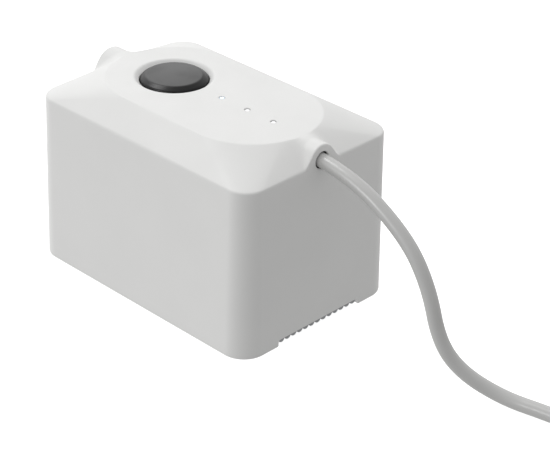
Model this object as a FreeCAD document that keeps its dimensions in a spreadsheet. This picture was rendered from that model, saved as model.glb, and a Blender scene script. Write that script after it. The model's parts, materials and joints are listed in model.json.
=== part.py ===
import FreeCAD, Part
import math
import os
import Sketcher

# Battery unit: a one-piece plastic cover over a cell pack, a power board, a push button and three lights.
# Row frame: +X is the long way, towards the cord; +Z is up; the origin is the centre of the footprint on the floor.

Vector = FreeCAD.Vector

SIZES = [
    # cover
    ("base_length", 152.2), ("base_width", 104.2), ("draft_drop", 1.6), ("rim_height", 0.3),
    ("wall_height", 90.0), ("corner_radius", 11.3), ("wall", 3.0), ("top_height", 100.0),
    ("plateau_length", 123.8), ("plateau_width", 70.4), ("plateau_fillet", 4.0),
    ("roof_underside", 97.0), ("inner_wall_top", 87.7),
    ("snout_radius", 8.2), ("snout_fillet", 5.0), ("cord_height", 91.6),
    ("notch_width", 57.0), ("notch_height", 4.1), ("foot_round", 1.2),
    # base plate
    ("plate_floor", 4.3), ("plate_top", 7.0), ("plate_gap", 0.4), ("rib_pitch", 4.22), ("rib_count", 13),
    ("rib_radius", 1.5), ("rib_bottom", 1.8), ("rib_recess", 1.1), ("slot_width", 1.2), ("slot_length", 40.0),
    ("boss_x", 62.0), ("boss_y", 40.0), ("boss_radius", 4.5), ("screw_radius", 1.5), ("pad_x", 46.0),
    ("pad_y", 42.0), ("pad_radius", 4.0),
    # button
    ("button_x", -27.5), ("dish_radius", 20.7), ("well_radius", 17.7), ("cap_radius", 17.3),
    ("cap_top_radius", 14.2), ("cap_shoulder", 98.0), ("cap_top", 101.2), ("cap_bottom", 91.0),
    ("skirt_radius", 16.9), ("flange_radius", 18.5), ("guide_outer", 20.2), ("stem_radius", 2.5),
    ("spring_radius", 9.0), ("spring_wire", 0.45), ("spring_turns", 4),
    # lights
    ("light_x", 6.7), ("light_pitch", 17.65), ("light_radius", 1.5), ("light_hole", 1.6),
    # carrier and indicator board
    ("carrier_floor", 84.0), ("carrier_top", 86.0), ("post_radius", 3.5), ("board_thickness", 1.6),
    # cell pack
    ("cell_radius", 13.1), ("cell_length", 65.5), ("cell_pitch", 27.6), ("cell_columns", 4), ("cell_rows", 2),
    ("pack_y", -18.8), ("holder_floor", 9.0), ("cell_floor", 11.5), ("holder_grip", 6.5), ("link_thickness", 0.3),
    # power board
    ("power_y", 13.0), ("power_floor", 12.0), ("power_height", 64.0), ("power_length", 104.0),
    # cord and plug
    ("cord_radius", 3.6), ("cord_hole", 4.4), ("cord_start", 71.5), ("bush_radius", 5.9), ("bush_length", 9.0),
    ("inlet_radius", 5.4), ("inlet_bore", 3.1), ("inlet_depth", 10.0),
    ("coil_x", 236.9), ("coil_y", 70.1), ("coil_radius", 38.95), ("turn_step", 7.3), ("turn_rise", 6.35),
    ("last_radius", 32.0), ("plug_length", 28.0), ("plug_width", 26.0), ("plug_thickness", 12.8),
    ("plug_bush_length", 20.0),
]

doc = FreeCAD.newDocument("battery_unit")
sheet = doc.addObject("Spreadsheet::Sheet", "D")
for row, (alias, value) in enumerate(SIZES, start=1):
    sheet.set(f"A{row}", alias)
    sheet.set(f"B{row}", str(value))
    sheet.setAlias(f"B{row}", alias)
doc.recompute()

NODES = []


def number(expression):
    """The value of an expression or of a plain number."""
    if isinstance(expression, (int, float)):
        return float(expression)
    found = sheet.evalExpression(expression)
    return float(getattr(found, "Value", found))


def bind(target, prop, value):
    """Sets a property from a plain number, or ties it to an expression."""
    if isinstance(value, str):
        target.setExpression(prop, value)
    elif prop.startswith("Placement.Base."):
        setattr(target.Placement.Base, prop[-1], value)
    else:
        setattr(target, prop, value)


def keep(shape_object, name):
    """Marks an object as a sub-part and gives it its name."""
    shape_object.Label = name
    NODES.append(shape_object)
    return shape_object


def place(target, x=0.0, y=0.0, z=0.0, axis=None, angle=0.0):
    if axis is not None:
        target.Placement.Rotation = FreeCAD.Rotation(Vector(*axis), angle)
    for letter, value in (("x", x), ("y", y), ("z", z)):
        bind(target, f"Placement.Base.{letter}", value)
    return target


def block(name, size, centre_x, centre_y, floor):
    """A box given by its size, the middle of its floor and the height of its floor."""
    made = doc.addObject("Part::Box", name)
    for prop, value in zip(("Length", "Width", "Height"), size):
        bind(made, prop, value)
    return place(made, f"{centre_x} - ({size[0]}) / 2", f"{centre_y} - ({size[1]}) / 2", floor)


TURNS = {"x": ((0, 1, 0), 90), "y": ((1, 0, 0), -90), "z": (None, 0)}


def rod(name, radius, length, x, y, z, along="z"):
    """A cylinder that starts at a point and runs along a row axis."""
    made = doc.addObject("Part::Cylinder", name)
    bind(made, "Radius", radius)
    bind(made, "Height", length)
    axis, angle = TURNS[along]
    return place(made, x, y, z, axis, angle)


def cone(name, low, high, length, x, y, z, along="z"):
    made = doc.addObject("Part::Cone", name)
    bind(made, "Radius1", low)
    bind(made, "Radius2", high)
    bind(made, "Height", length)
    axis, angle = TURNS[along]
    return place(made, x, y, z, axis, angle)


def fuse(name, *shapes):
    made = doc.addObject("Part::MultiFuse", name)
    made.Shapes = list(shapes)
    return made


def cut(name, base, *tools):
    made = doc.addObject("Part::Cut", name)
    made.Base = base
    made.Tool = tools[0] if len(tools) == 1 else fuse(f"{name}_tools", *tools)
    return made


def group(name, *shapes):
    """Several separate solids under one name."""
    made = doc.addObject("Part::Compound", name)
    made.Links = list(shapes)
    return made


def free_shape(name, shape):
    made = doc.addObject("Part::Feature", name)
    made.Shape = shape
    return made


# --- PartDesign helpers -------------------------------------------------------------------------------------


def sketch_on(body, name, role="XY_Plane", height=None):
    """A sketch on one of the body's own origin planes, raised by an expression."""
    made = body.newObject("Sketcher::SketchObject", name)
    plane = next(found for found in body.Origin.OriginFeatures if found.Role == role)
    made.AttachmentSupport = [(plane, "")]
    made.MapMode = "FlatFace"
    if height is not None:
        made.setExpression("AttachmentOffset.Base.z", height)
    return made


def sized(sketch, kind, arguments, expression):
    """Adds a dimension that follows an expression, or that is a plain number."""
    index = sketch.addConstraint(Sketcher.Constraint(kind, *arguments, number(expression)))
    if isinstance(expression, str):
        sketch.setExpression(f"Constraints[{index}]", expression)


def rounded_rectangle(sketch, length, width, radius):
    """A rectangle with round corners, centred on the sketch's origin."""
    a, b, r = number(length) / 2, number(width) / 2, number(radius)
    sides = [((-a + r, -b), (a - r, -b)), ((a, -b + r), (a, b - r)),
             ((a - r, b), (-a + r, b)), ((-a, b - r), (-a, -b + r))]
    centres = [(a - r, -b + r), (a - r, b - r), (-a + r, b - r), (-a + r, -b + r)]
    lines = [Part.LineSegment(Vector(*start), Vector(*end)) for start, end in sides]
    arcs = []
    for quarter, centre in enumerate(centres):
        start = math.radians(90 * quarter - 90)
        circle = Part.Circle(Vector(*centre), Vector(0, 0, 1), r)
        arcs.append(Part.ArcOfCircle(circle, start, start + math.pi / 2))
    sketch.addGeometry(lines + arcs, False)
    rules = []
    for side in range(4):
        rules.append(Sketcher.Constraint("Tangent", side, 2, 4 + side, 1))
        rules.append(Sketcher.Constraint("Tangent", 4 + side, 2, (side + 1) % 4, 1))
    rules += [Sketcher.Constraint("Horizontal", side) for side in (0, 2)]
    rules += [Sketcher.Constraint("Vertical", side) for side in (1, 3)]
    rules += [Sketcher.Constraint("Equal", arc, arc + 1) for arc in (4, 5, 6)]
    rules.append(Sketcher.Constraint("Symmetric", 0, 1, 2, 1, -1, 1))
    sketch.addConstraint(rules)
    sized(sketch, "Radius", (4,), radius)
    sized(sketch, "DistanceX", (3, 1, 1, 1), length)
    sized(sketch, "DistanceY", (0, 1, 2, 1), width)


def circles(sketch, spots, radius):
    """Equal circles; each spot is a pair of expressions."""
    for index, (x, y) in enumerate(spots):
        centre = Vector(number(x), number(y))
        sketch.addGeometry(Part.Circle(centre, Vector(0, 0, 1), number(radius)), False)
        sized(sketch, "DistanceX", (-1, 1, index, 3), x)
        sized(sketch, "DistanceY", (-1, 1, index, 3), y)
        if index == 0:
            sized(sketch, "Radius", (index,), radius)
        else:
            sketch.addConstraint(Sketcher.Constraint("Equal", 0, index))


def loft(body, kind, name, bottom, top):
    made = body.newObject(kind, name)
    made.Profile = bottom
    made.Sections = [top]
    made.Ruled = True
    return made


def pad(body, name, sketch, length, upwards=True, both=False):
    made = body.newObject("PartDesign::Pad", name)
    made.Profile = sketch
    made.Reversed = not upwards
    made.Midplane = both
    bind(made, "Length", length)
    return made


def pocket(body, name, sketch, length, upwards, both=False):
    """A pocket that goes up or down from its sketch, or both ways."""
    made = body.newObject("PartDesign::Pocket", name)
    made.Profile = sketch
    made.Reversed = upwards
    made.Midplane = both
    bind(made, "Length", length)
    return made


def fillet(body, name, base, test, radius):
    """Rounds the edges of the base feature that pass the test."""
    doc.recompute()
    made = body.newObject("PartDesign::Fillet", name)
    made.Base = (base, [f"Edge{k}" for k, edge in enumerate(base.Shape.Edges, start=1) if test(edge)])
    made.setExpression("Radius", radius)
    return made


def at_height(height):
    return lambda edge: all(abs(corner.Z - height) < 1e-4 for corner in edge.Vertexes)


# --- cover --------------------------------------------------------------------------------------------------

SIGNS = [(-1, -1), (1, -1), (1, 1), (-1, 1)]
CARRIER_POSTS = [("-51", "-14"), ("-51", "14"), ("48", "-20"), ("48", "20")]
SADDLE_POSTS = [("-58.5", "-9.5"), ("-58.5", "9.5"), ("55.5", "-9.5"), ("55.5", "9.5")]
BOSSES = [(f"{a} * D.boss_x", f"{b} * D.boss_y") for a, b in SIGNS]
LIGHTS = [(f"D.light_x + {k} * D.light_pitch", 0) for k in range(3)]


def make_cover():
    body = doc.addObject("PartDesign::Body", "housing_cover")
    half_length = number("D.base_length / 2 - D.draft_drop")
    snout, axis_z = number("D.snout_radius"), number("D.cord_height")

    foot = sketch_on(body, "cover_foot", height="D.rim_height")
    rounded_rectangle(foot, "D.base_length", "D.base_width", "D.corner_radius + D.draft_drop")
    edge = sketch_on(body, "cover_edge", height="D.wall_height")
    rounded_rectangle(edge, "D.base_length - 2 * D.draft_drop", "D.base_width - 2 * D.draft_drop",
                      "D.corner_radius")
    plateau = sketch_on(body, "cover_plateau", height="D.top_height")
    rounded_rectangle(plateau, "D.plateau_length", "D.plateau_width", "D.plateau_width / 2 - 0.2")
    loft(body, "PartDesign::AdditiveLoft", "cover_walls", foot, edge)
    slope = loft(body, "PartDesign::AdditiveLoft", "cover_slope", edge, plateau)
    rim = fillet(body, "cover_plateau_fillet", slope, at_height(number("D.top_height")), "D.plateau_fillet")

    # the half-round snouts that run out of the plateau to both end walls, blended into the slope
    ridge = sketch_on(body, "cover_ridge", "YZ_Plane")
    circles(ridge, [(0, "D.cord_height")], "D.snout_radius")
    snouts = pad(body, "cover_snouts", ridge, "D.base_length - 2 * D.draft_drop", both=True)

    def at_snout_foot(one):
        spots = [one.valueAt(one.FirstParameter + (one.LastParameter - one.FirstParameter) * k / 4)
                 for k in range(5)]
        on_snout = all(abs(math.hypot(p.y, p.z - axis_z) - snout) < 0.02 for p in spots)
        on_end = all(abs(abs(p.x) - half_length) < 0.01 for p in spots)
        return on_snout and not on_end and one.BoundBox.ZMin > axis_z - 2 and one.Length > 0.2

    fillet(body, "cover_snout_fillet", snouts, at_snout_foot, "D.snout_fillet")
    doc.recompute()

    # the inside
    inner_foot = sketch_on(body, "cavity_foot", height="D.rim_height")
    rounded_rectangle(inner_foot, "D.base_length - 2 * D.wall", "D.base_width - 2 * D.wall",
                      "D.corner_radius + D.draft_drop - D.wall")
    inner_edge = sketch_on(body, "cavity_edge", height="D.inner_wall_top")
    rounded_rectangle(inner_edge, "D.base_length - 2 * D.draft_drop - 2 * D.wall",
                      "D.base_width - 2 * D.draft_drop - 2 * D.wall", "D.corner_radius - D.wall")
    inner_top = sketch_on(body, "cavity_top", height="D.roof_underside")
    rounded_rectangle(inner_top, "D.plateau_length - 2.8", "D.plateau_width - 2.8", "D.plateau_width / 2 - 1.6")
    loft(body, "PartDesign::SubtractiveLoft", "cavity_walls", inner_foot, inner_edge)
    loft(body, "PartDesign::SubtractiveLoft", "cavity_roof", inner_edge, inner_top)

    # notches under both end walls, where the ribs of the base plate show
    notch = sketch_on(body, "notch", height="D.rim_height")
    rounded_rectangle(notch, "D.base_length + 10", "D.notch_width", "D.foot_round")
    notched = pocket(body, "cover_notches", notch, "D.notch_height - D.rim_height", upwards=True)

    # screw bosses in the corners, and posts under the roof
    boss = sketch_on(body, "bosses", height="D.plate_top + 0.3")
    circles(boss, BOSSES, "D.boss_radius")
    pad(body, "cover_bosses", boss, "D.inner_wall_top - D.plate_top + 1.5")
    post = sketch_on(body, "posts", height="D.carrier_top")
    circles(post, CARRIER_POSTS, "D.post_radius")
    pad(body, "cover_posts", post, "D.roof_underside - D.carrier_top + 1")
    saddle = sketch_on(body, "saddle_posts", height="D.cord_height")
    circles(saddle, SADDLE_POSTS, "D.post_radius - 0.5")
    pad(body, "cover_saddle_posts", saddle, "D.roof_underside - D.cord_height + 1")
    for name, spots, height, depth in (("boss_holes", BOSSES, "D.plate_top", 12),
                                       ("post_holes", CARRIER_POSTS, "D.carrier_top", 4.5),
                                       ("saddle_holes", SADDLE_POSTS, "D.cord_height", 4.5)):
        hole = sketch_on(body, name, height=height)
        circles(hole, spots, "D.screw_radius - 0.2")
        pocket(body, f"cover_{name}", hole, depth, upwards=True)

    # button well: a shallow dish round a straight bore
    well = sketch_on(body, "well", height="D.roof_underside - 1")
    circles(well, [("D.button_x", 0)], "D.well_radius")
    pocket(body, "cover_well", well, "D.top_height - D.roof_underside + 2", upwards=True)
    dish = body.newObject("PartDesign::SubtractiveCone", "cover_dish")
    plane = next(found for found in body.Origin.OriginFeatures if found.Role == "XY_Plane")
    dish.AttachmentSupport = [(plane, "")]
    dish.MapMode = "FlatFace"
    dish.setExpression("AttachmentOffset.Base.x", "D.button_x")
    dish.setExpression("AttachmentOffset.Base.z", "D.cap_shoulder + 0.2")
    dish.setExpression("Radius1", "D.well_radius")
    dish.setExpression("Radius2", "D.dish_radius")
    dish.setExpression("Height", "D.top_height - D.cap_shoulder - 0.2")

    # holes for the three lights
    light = sketch_on(body, "light_holes", height="D.roof_underside - 1")
    circles(light, LIGHTS, "D.light_hole")
    pocket(body, "cover_light_holes", light, "D.top_height - D.roof_underside + 2", upwards=True)

    # cord hole and bush seat in the +X snout, and the inlet's bore in the -X snout
    for name, radius, start, length in (
            ("cord_hole", "D.cord_hole", "D.cord_start - 1", "D.wall + 5"),
            ("bush_seat", "D.bush_radius + 0.1", "D.cord_start - 16", 16),
            ("inlet_bore", "D.inlet_radius + 0.1", "-D.base_length / 2 - 1", 22)):
        hole = sketch_on(body, name, "YZ_Plane", start)
        circles(hole, [(0, "D.cord_height")], radius)
        pocket(body, f"cover_{name}", hole, length, upwards=True)
    return keep(body, "housing_cover")


# --- base plate -----------------------------------------------------------------------------------------------


def make_base():
    """The slotted plate that closes the bottom, with ribs along X whose ends show in the end notches."""
    body = doc.addObject("PartDesign::Body", "plate_body")
    outline = sketch_on(body, "plate_outline", height="D.plate_floor")
    rounded_rectangle(outline, "D.base_length - 2 * D.wall - 2 * D.plate_gap",
                      "D.base_width - 2 * D.wall - 2 * D.plate_gap", "D.corner_radius + D.draft_drop - D.wall")
    plate = pad(body, "plate", outline, "D.plate_top - D.plate_floor")
    hole = sketch_on(body, "plate_screw_holes", height="D.plate_floor")
    circles(hole, BOSSES, "D.screw_radius + 0.2")
    pocket(body, "plate_holes", hole, "D.plate_top - D.plate_floor", upwards=True)
    doc.recompute()
    half_count = (number("D.rib_count") - 1) / 2
    length = "D.base_length - 2 * D.rib_recess"
    ribs = []
    for k in range(int(number("D.rib_count"))):
        across = f"{k - half_count} * D.rib_pitch"
        nose = rod(f"rib_nose_{k}", "D.rib_radius", length, f"-({length}) / 2", across,
                   "D.rib_bottom + D.rib_radius", along="x")
        web = block(f"rib_web_{k}", (length, "2 * D.rib_radius", "D.notch_height - 0.1 - D.rib_bottom - D.rib_radius"),
                    "0", across, "D.rib_bottom + D.rib_radius")
        root = block(f"rib_root_{k}", ("D.base_length - 2 * D.wall - 2 * D.plate_gap", "2 * D.rib_radius",
                                       "D.plate_floor - D.rib_bottom - D.rib_radius"),
                     "0", across, "D.rib_bottom + D.rib_radius")
        ribs += [nose, web, root]
    slots = []
    for k in range(int(number("D.rib_count")) - 1):
        across = f"{k - half_count + 0.5} * D.rib_pitch"
        for side in (-1, 1):
            slots.append(block(f"vent_{k}_{side + 1}", ("D.slot_length", "D.slot_width", "D.plate_top - D.plate_floor + 1"),
                               f"{side} * D.slot_length * 0.75", across, "D.plate_floor - 1"))
    # above the notches the ribs end inside the cover's walls
    for side in (-1, 1):
        slots.append(block(f"rib_end_{side + 1}", ("2 * D.wall", "D.notch_width", 2),
                           f"{side} * (D.base_length / 2 - D.plate_gap)", 0, "D.notch_height - 0.1"))
    posts = [rod(f"holder_post_{k}", "D.post_radius + 1", "D.holder_floor - D.plate_top", f"{x} * D.cell_pitch",
                 "D.pack_y", "D.plate_top") for k, x in enumerate((-1, 0, 1))]
    bolts = [rod(f"holder_post_hole_{k}", 1.6, 3, f"{x} * D.cell_pitch", "D.pack_y", "D.plate_top + 0.3")
             for k, x in enumerate((-1, 0, 1))]
    posts += [block(f"power_foot_{k}", (8, 8, "D.power_floor - D.plate_top"), f"{side} * 48", "D.power_y + 0.8",
                    "D.plate_top") for k, side in enumerate((-1, 1))]
    keep(cut("base_plate_slotted", fuse("base_plate_ribbed", body, *ribs, *posts), *slots, *bolts), "base_plate")

    screws = []
    for k, (x, y) in enumerate(BOSSES):
        shank = rod(f"base_screw_shank_{k}", "D.screw_radius - 0.25", 13, x, y, "D.plate_floor - 0.2")
        head = rod(f"base_screw_head_{k}", "D.screw_radius * 1.9", 2, x, y, "D.plate_floor - 2")
        drive = rod(f"base_screw_drive_{k}", "D.screw_radius * 0.7", 1, x, y, "D.plate_floor - 2")
        screws.append(cut(f"base_screw_{k}", fuse(f"base_screw_blank_{k}", shank, head), drive))
    keep(group("base_screw_set", *screws), "base_screws")
    pads = []
    for k, (a, b) in enumerate(SIGNS):
        low = cone(f"foot_pad_low_{k}", "D.pad_radius - 0.6", "D.pad_radius", 0.6, f"{a} * D.pad_x",
                   f"{b} * D.pad_y", 0)
        top = rod(f"foot_pad_top_{k}", "D.pad_radius", "D.plate_floor - 0.6", f"{a} * D.pad_x", f"{b} * D.pad_y", 0.6)
        pads.append(fuse(f"foot_pad_{k}", low, top))
    keep(group("foot_pad_set", *pads), "foot_pads")


# --- button -------------------------------------------------------------------------------------------------


def ring(name, outer, inner, length, x, y, z, along="z"):
    """A tube; the inner cylinder is longer at both ends so that it cuts cleanly."""
    tube = rod(f"{name}_outer", outer, length, x, y, z, along)
    steps = {"x": (f"{x} - 1", y, z), "y": (x, f"{y} - 1", z), "z": (x, y, f"{z} - 1")}
    bore = rod(f"{name}_bore", inner, f"{length} + 2", *steps[along], along)
    return cut(name, tube, bore)


def helix(radius, wire, low, high, turns, x):
    """A coil spring with level ends resting on two planes."""
    pitch = (high - low - 2 * wire) / turns
    path = Part.makeHelix(pitch, pitch * turns, radius)
    section = Part.Wire([Part.makeCircle(wire, Vector(radius, 0, 0), Vector(0, 1, 0))])
    coil = Part.Wire(path.Edges).makePipeShell([section], True, True)
    coil.translate(Vector(x, 0, low + wire))
    return coil


def make_button():
    x, centre = "D.button_x", "0"
    # cap: tapered side, round top edge, hollow underneath, with a flange that the guide holds in
    side = cone("cap_side", "D.cap_radius", "D.cap_top_radius", "D.cap_top - D.cap_shoulder", x, centre,
                "D.cap_shoulder")
    skirt = rod("cap_skirt", "D.skirt_radius", "D.cap_shoulder - D.cap_bottom", x, centre, "D.cap_bottom")
    flange = rod("cap_flange", "D.flange_radius", 1.2, x, centre, "D.cap_bottom")
    solid = fuse("cap_solid", side, skirt, flange)
    hollow = rod("cap_hollow", "D.skirt_radius - 1.6", "D.cap_shoulder + 1 - D.cap_bottom + 1", x, centre,
                 "D.cap_bottom - 1")
    shell = cut("cap_shell", solid, hollow)
    rounded = doc.addObject("Part::Fillet", "cap_rounded")
    rounded.Base = shell
    doc.recompute()
    top = number("D.cap_top")
    rounded.Edges = [(k, 0.9, 0.9) for k, edge in enumerate(shell.Shape.Edges, start=1)
                     if all(abs(corner.Z - top) < 1e-4 for corner in edge.Vertexes)
                     and edge.BoundBox.ZLength < 1e-3]
    stem = rod("cap_stem", "D.stem_radius", "D.cap_shoulder + 1 - 94.2", x, centre, 94.2)
    keep(fuse("button_cap_whole", rounded, stem), "button_cap")

    # guide: a collar between the roof and the carrier; its inner step holds the cap's flange
    wall = ring("guide_wall", "D.guide_outer", "D.flange_radius + 0.5", "D.roof_underside - D.carrier_top", x, centre,
                "D.carrier_top")
    step = ring("guide_step", "D.flange_radius + 0.6", "D.skirt_radius + 0.35", 2.3, x, centre, 92.4)
    keep(fuse("button_guide_whole", wall, step), "button_guide")

    spring = helix(number("D.spring_radius"), number("D.spring_wire"), number("D.carrier_top") + 0.05,
                   number("D.cap_shoulder") + 0.95, number("D.spring_turns"), number("D.button_x"))
    keep(free_shape("button_spring_coil", spring), "button_spring")

    # switch under the cap
    case = block("switch_case", (9, 9, 4.5), "D.button_x", 0, "D.carrier_top")
    lip = block("switch_lip", (7.6, 7.6, 0.6), "D.button_x", 0, "D.carrier_top + 4.5")
    legs = [block(f"switch_leg_{k}", (0.5, 0.8, 3), f"D.button_x + {a} * 3.2", f"{b} * 2.5", "D.carrier_floor - 1")
            for k, (a, b) in enumerate(SIGNS)]
    bore = rod("switch_bore", "D.stem_radius - 0.6", 6, x, centre, "D.carrier_top + 0.3")
    keep(cut("switch_housing", fuse("switch_blank", case, lip, *legs), bore), "power_switch")
    keep(rod("plunger", "D.stem_radius - 0.8", 4.6, x, centre, 94.1 - 4.6), "switch_plunger")


# --- carrier, indicator board and light guides --------------------------------------------------------------


def make_lights():
    slab = block("carrier_slab", (106.6, 50, "D.carrier_top - D.carrier_floor"), -1.6, 0, "D.carrier_floor")
    stands = [rod(f"board_stand_{k}", 2.6, 2, x, 0, "D.carrier_top") for k, x in enumerate((-2.0, 15.5, 33.2, 45.5))]
    holes = [rod(f"carrier_hole_{k}", "D.screw_radius + 0.1", 4, x, y, "D.carrier_floor - 1")
             for k, (x, y) in enumerate(CARRIER_POSTS)]
    holes += [block(f"carrier_leg_slot_{k}", (1.1, 1.4, 4), f"D.button_x + {a} * 3.2", f"{b} * 2.5",
                    "D.carrier_floor - 1") for k, (a, b) in enumerate(SIGNS)]
    holes += [rod(f"stand_hole_{k}", 0.8, 5, x, 0, "D.carrier_floor - 0.5") for k, x in enumerate((15.5, 33.2))]
    holes.append(block("carrier_window", (16, 8, 4), 24, 17, "D.carrier_floor - 1"))
    holes.append(block("carrier_notch", (7, 9, 4), -52.5, 0, "D.carrier_floor - 1"))
    keep(cut("carrier_cut", fuse("carrier_blank", slab, *stands), *holes), "top_carrier")
    screws = []
    for k, (x, y) in enumerate(CARRIER_POSTS):
        shank = rod(f"carrier_screw_shank_{k}", "D.screw_radius - 0.25", 6, x, y, "D.carrier_floor - 0.1")
        head = rod(f"carrier_screw_head_{k}", "D.screw_radius * 1.8", 1.8, x, y, "D.carrier_floor - 1.8")
        screws.append(fuse(f"carrier_screw_{k}", shank, head))
    keep(group("carrier_screw_set", *screws), "carrier_screws")

    board = block("indicator_slab", (50, 17, "D.board_thickness"), 22, 0, "D.carrier_top + 2")
    board_holes = [rod(f"indicator_hole_{k}", 1.1, 4, x, 0, "D.carrier_top + 1") for k, x in enumerate((15.5, 33.2))]
    keep(cut("indicator_cut", board, *board_holes), "indicator_board")
    pins = []
    for k, x in enumerate((15.5, 33.2)):
        shank = rod(f"board_screw_shank_{k}", 0.75, 4.2, x, 0, "D.carrier_top + 3.6 - 4.1")
        head = rod(f"board_screw_head_{k}", 1.7, 1.2, x, 0, "D.carrier_top + 3.6")
        pins.append(fuse(f"board_screw_{k}", shank, head))
    keep(group("board_screw_set", *pins), "indicator_screws")
    leds = []
    for k, (x, _) in enumerate(LIGHTS):
        base = block(f"led_base_{k}", (3.2, 2.8, 0.8), x, 0, "D.carrier_top + 3.6")
        dome = block(f"led_dome_{k}", (2.2, 2.0, 0.6), x, 0, "D.carrier_top + 4.4")
        leds.append(fuse(f"led_{k}", base, dome))
    keep(group("led_set", *leds), "indicator_leds")
    for k, (x, _) in enumerate(LIGHTS, start=1):
        stalk = rod(f"guide_stalk_{k}", "D.light_radius", "D.top_height - 0.02 - 91.4", x, 0, 91.4)
        collar = rod(f"guide_collar_{k}", "D.light_radius + 1", 1.4, x, 0, "D.roof_underside - 1.4")
        keep(fuse(f"light_guide_whole_{k}", stalk, collar), f"light_guide_{k}")


# --- cell pack ----------------------------------------------------------------------------------------------


def cell_spots():
    columns, rows = int(number("D.cell_columns")), int(number("D.cell_rows"))
    return [(f"{column - (columns - 1) / 2} * D.cell_pitch", f"D.pack_y + {row - (rows - 1) / 2} * D.cell_pitch")
            for row in range(rows) for column in range(columns)]


def holder(name, floor, pocket_floor, pocket_height, window_floor):
    """A tray with a round pocket for each cell, and a smaller window through its outer wall."""
    size = ("(D.cell_columns - 1) * D.cell_pitch + 2 * D.cell_radius + 2.6",
            "(D.cell_rows - 1) * D.cell_pitch + 2 * D.cell_radius + 2.6", "D.holder_grip + 2.5")
    blank = block(f"{name}_blank", size, "0", "D.pack_y", floor)
    tools = []
    for k, (x, y) in enumerate(cell_spots()):
        tools.append(rod(f"{name}_pocket_{k}", "D.cell_radius + 0.15", pocket_height, x, y, pocket_floor))
        tools.append(rod(f"{name}_window_{k}", "D.cell_radius - 4", 6, x, y, window_floor))
    for k in (-1, 0, 1):
        tools.append(rod(f"{name}_bolt_{k + 1}", 1.6, 20, f"{k} * D.cell_pitch", "D.pack_y", f"{floor} - 2"))
    return keep(cut(f"{name}_cut", blank, *tools), name)


def make_pack():
    top = "D.cell_floor + D.cell_length"
    holder("cell_holder_lower", "D.holder_floor", "D.cell_floor", 10, "D.holder_floor - 1")
    holder("cell_holder_upper", f"{top} - D.holder_grip", f"{top} - D.holder_grip - 1", "D.holder_grip + 1",
           f"{top} - 1")
    for k, (x, y) in enumerate(cell_spots(), start=1):
        can = rod(f"cell_can_{k}", "D.cell_radius", "D.cell_length - 1.2", x, y, "D.cell_floor")
        neck = rod(f"cell_neck_{k}", "D.cell_radius - 1", 0.5, x, y, f"{top} - 1.2")
        cap = rod(f"cell_cap_{k}", "D.cell_radius * 0.35", 0.7, x, y, f"{top} - 0.7")
        keep(fuse(f"cell_whole_{k}", can, neck, cap), f"cell_{k}")

    def links(name, height, stub_floor, pairs):
        strips = []
        spots = cell_spots()
        for k, (a, b) in enumerate(pairs):
            first, last = spots[a], spots[b]
            middle_x, middle_y = f"({first[0]} + {last[0]}) / 2", f"({first[1]} + {last[1]}) / 2"
            along_x = abs(number(first[0]) - number(last[0])) > 1
            size = ("D.cell_pitch + 8", "8") if along_x else ("8", "D.cell_pitch + 8")
            if a == b:
                size = ("10", "14")
            strip = block(f"{name}_strip_{k}", (*size, "D.link_thickness"), middle_x, middle_y, height)
            ends = {a, b}
            stubs = [rod(f"{name}_stub_{k}_{end}", 3, "2.5 + D.link_thickness", *spots[end], stub_floor)
                     for end in sorted(ends)]
            strips.append(fuse(f"{name}_{k}", strip, *stubs))
        return keep(group(f"{name}_set", *strips), name)

    links("cell_links_lower", "D.holder_floor - D.link_thickness", "D.cell_floor - 2.5 - D.link_thickness",
          ((0, 1), (2, 3), (4, 5), (6, 7)))
    links("cell_links_upper", f"{top} + 2.5", top, ((0, 0), (1, 2), (3, 7), (5, 6), (4, 4)))

    bolts = []
    for k in (-1, 0, 1):
        shank = rod(f"tie_shank_{k + 1}", 1.5, f"{top} + 2.5 - 7.5", f"{k} * D.cell_pitch", "D.pack_y", 7.5)
        head = rod(f"tie_head_{k + 1}", 3.2, 2.2, f"{k} * D.cell_pitch", "D.pack_y", f"{top} + 2.5")
        bolts.append(fuse(f"tie_{k + 1}", shank, head))
    keep(group("tie_set", *bolts), "pack_tie_screws")
    band = block("band_outer", ("3 * D.cell_pitch + 2 * D.cell_radius + 1.0", "D.cell_pitch + 2 * D.cell_radius + 1.0", 12),
                 "0", "D.pack_y", 38)
    inner = block("band_inner", ("3 * D.cell_pitch + 2 * D.cell_radius + 0.2", "D.cell_pitch + 2 * D.cell_radius + 0.2", 14),
                  "0", "D.pack_y", 37)
    keep(cut("band_cut", band, inner), "pack_strap")


# --- power board --------------------------------------------------------------------------------------------


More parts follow.
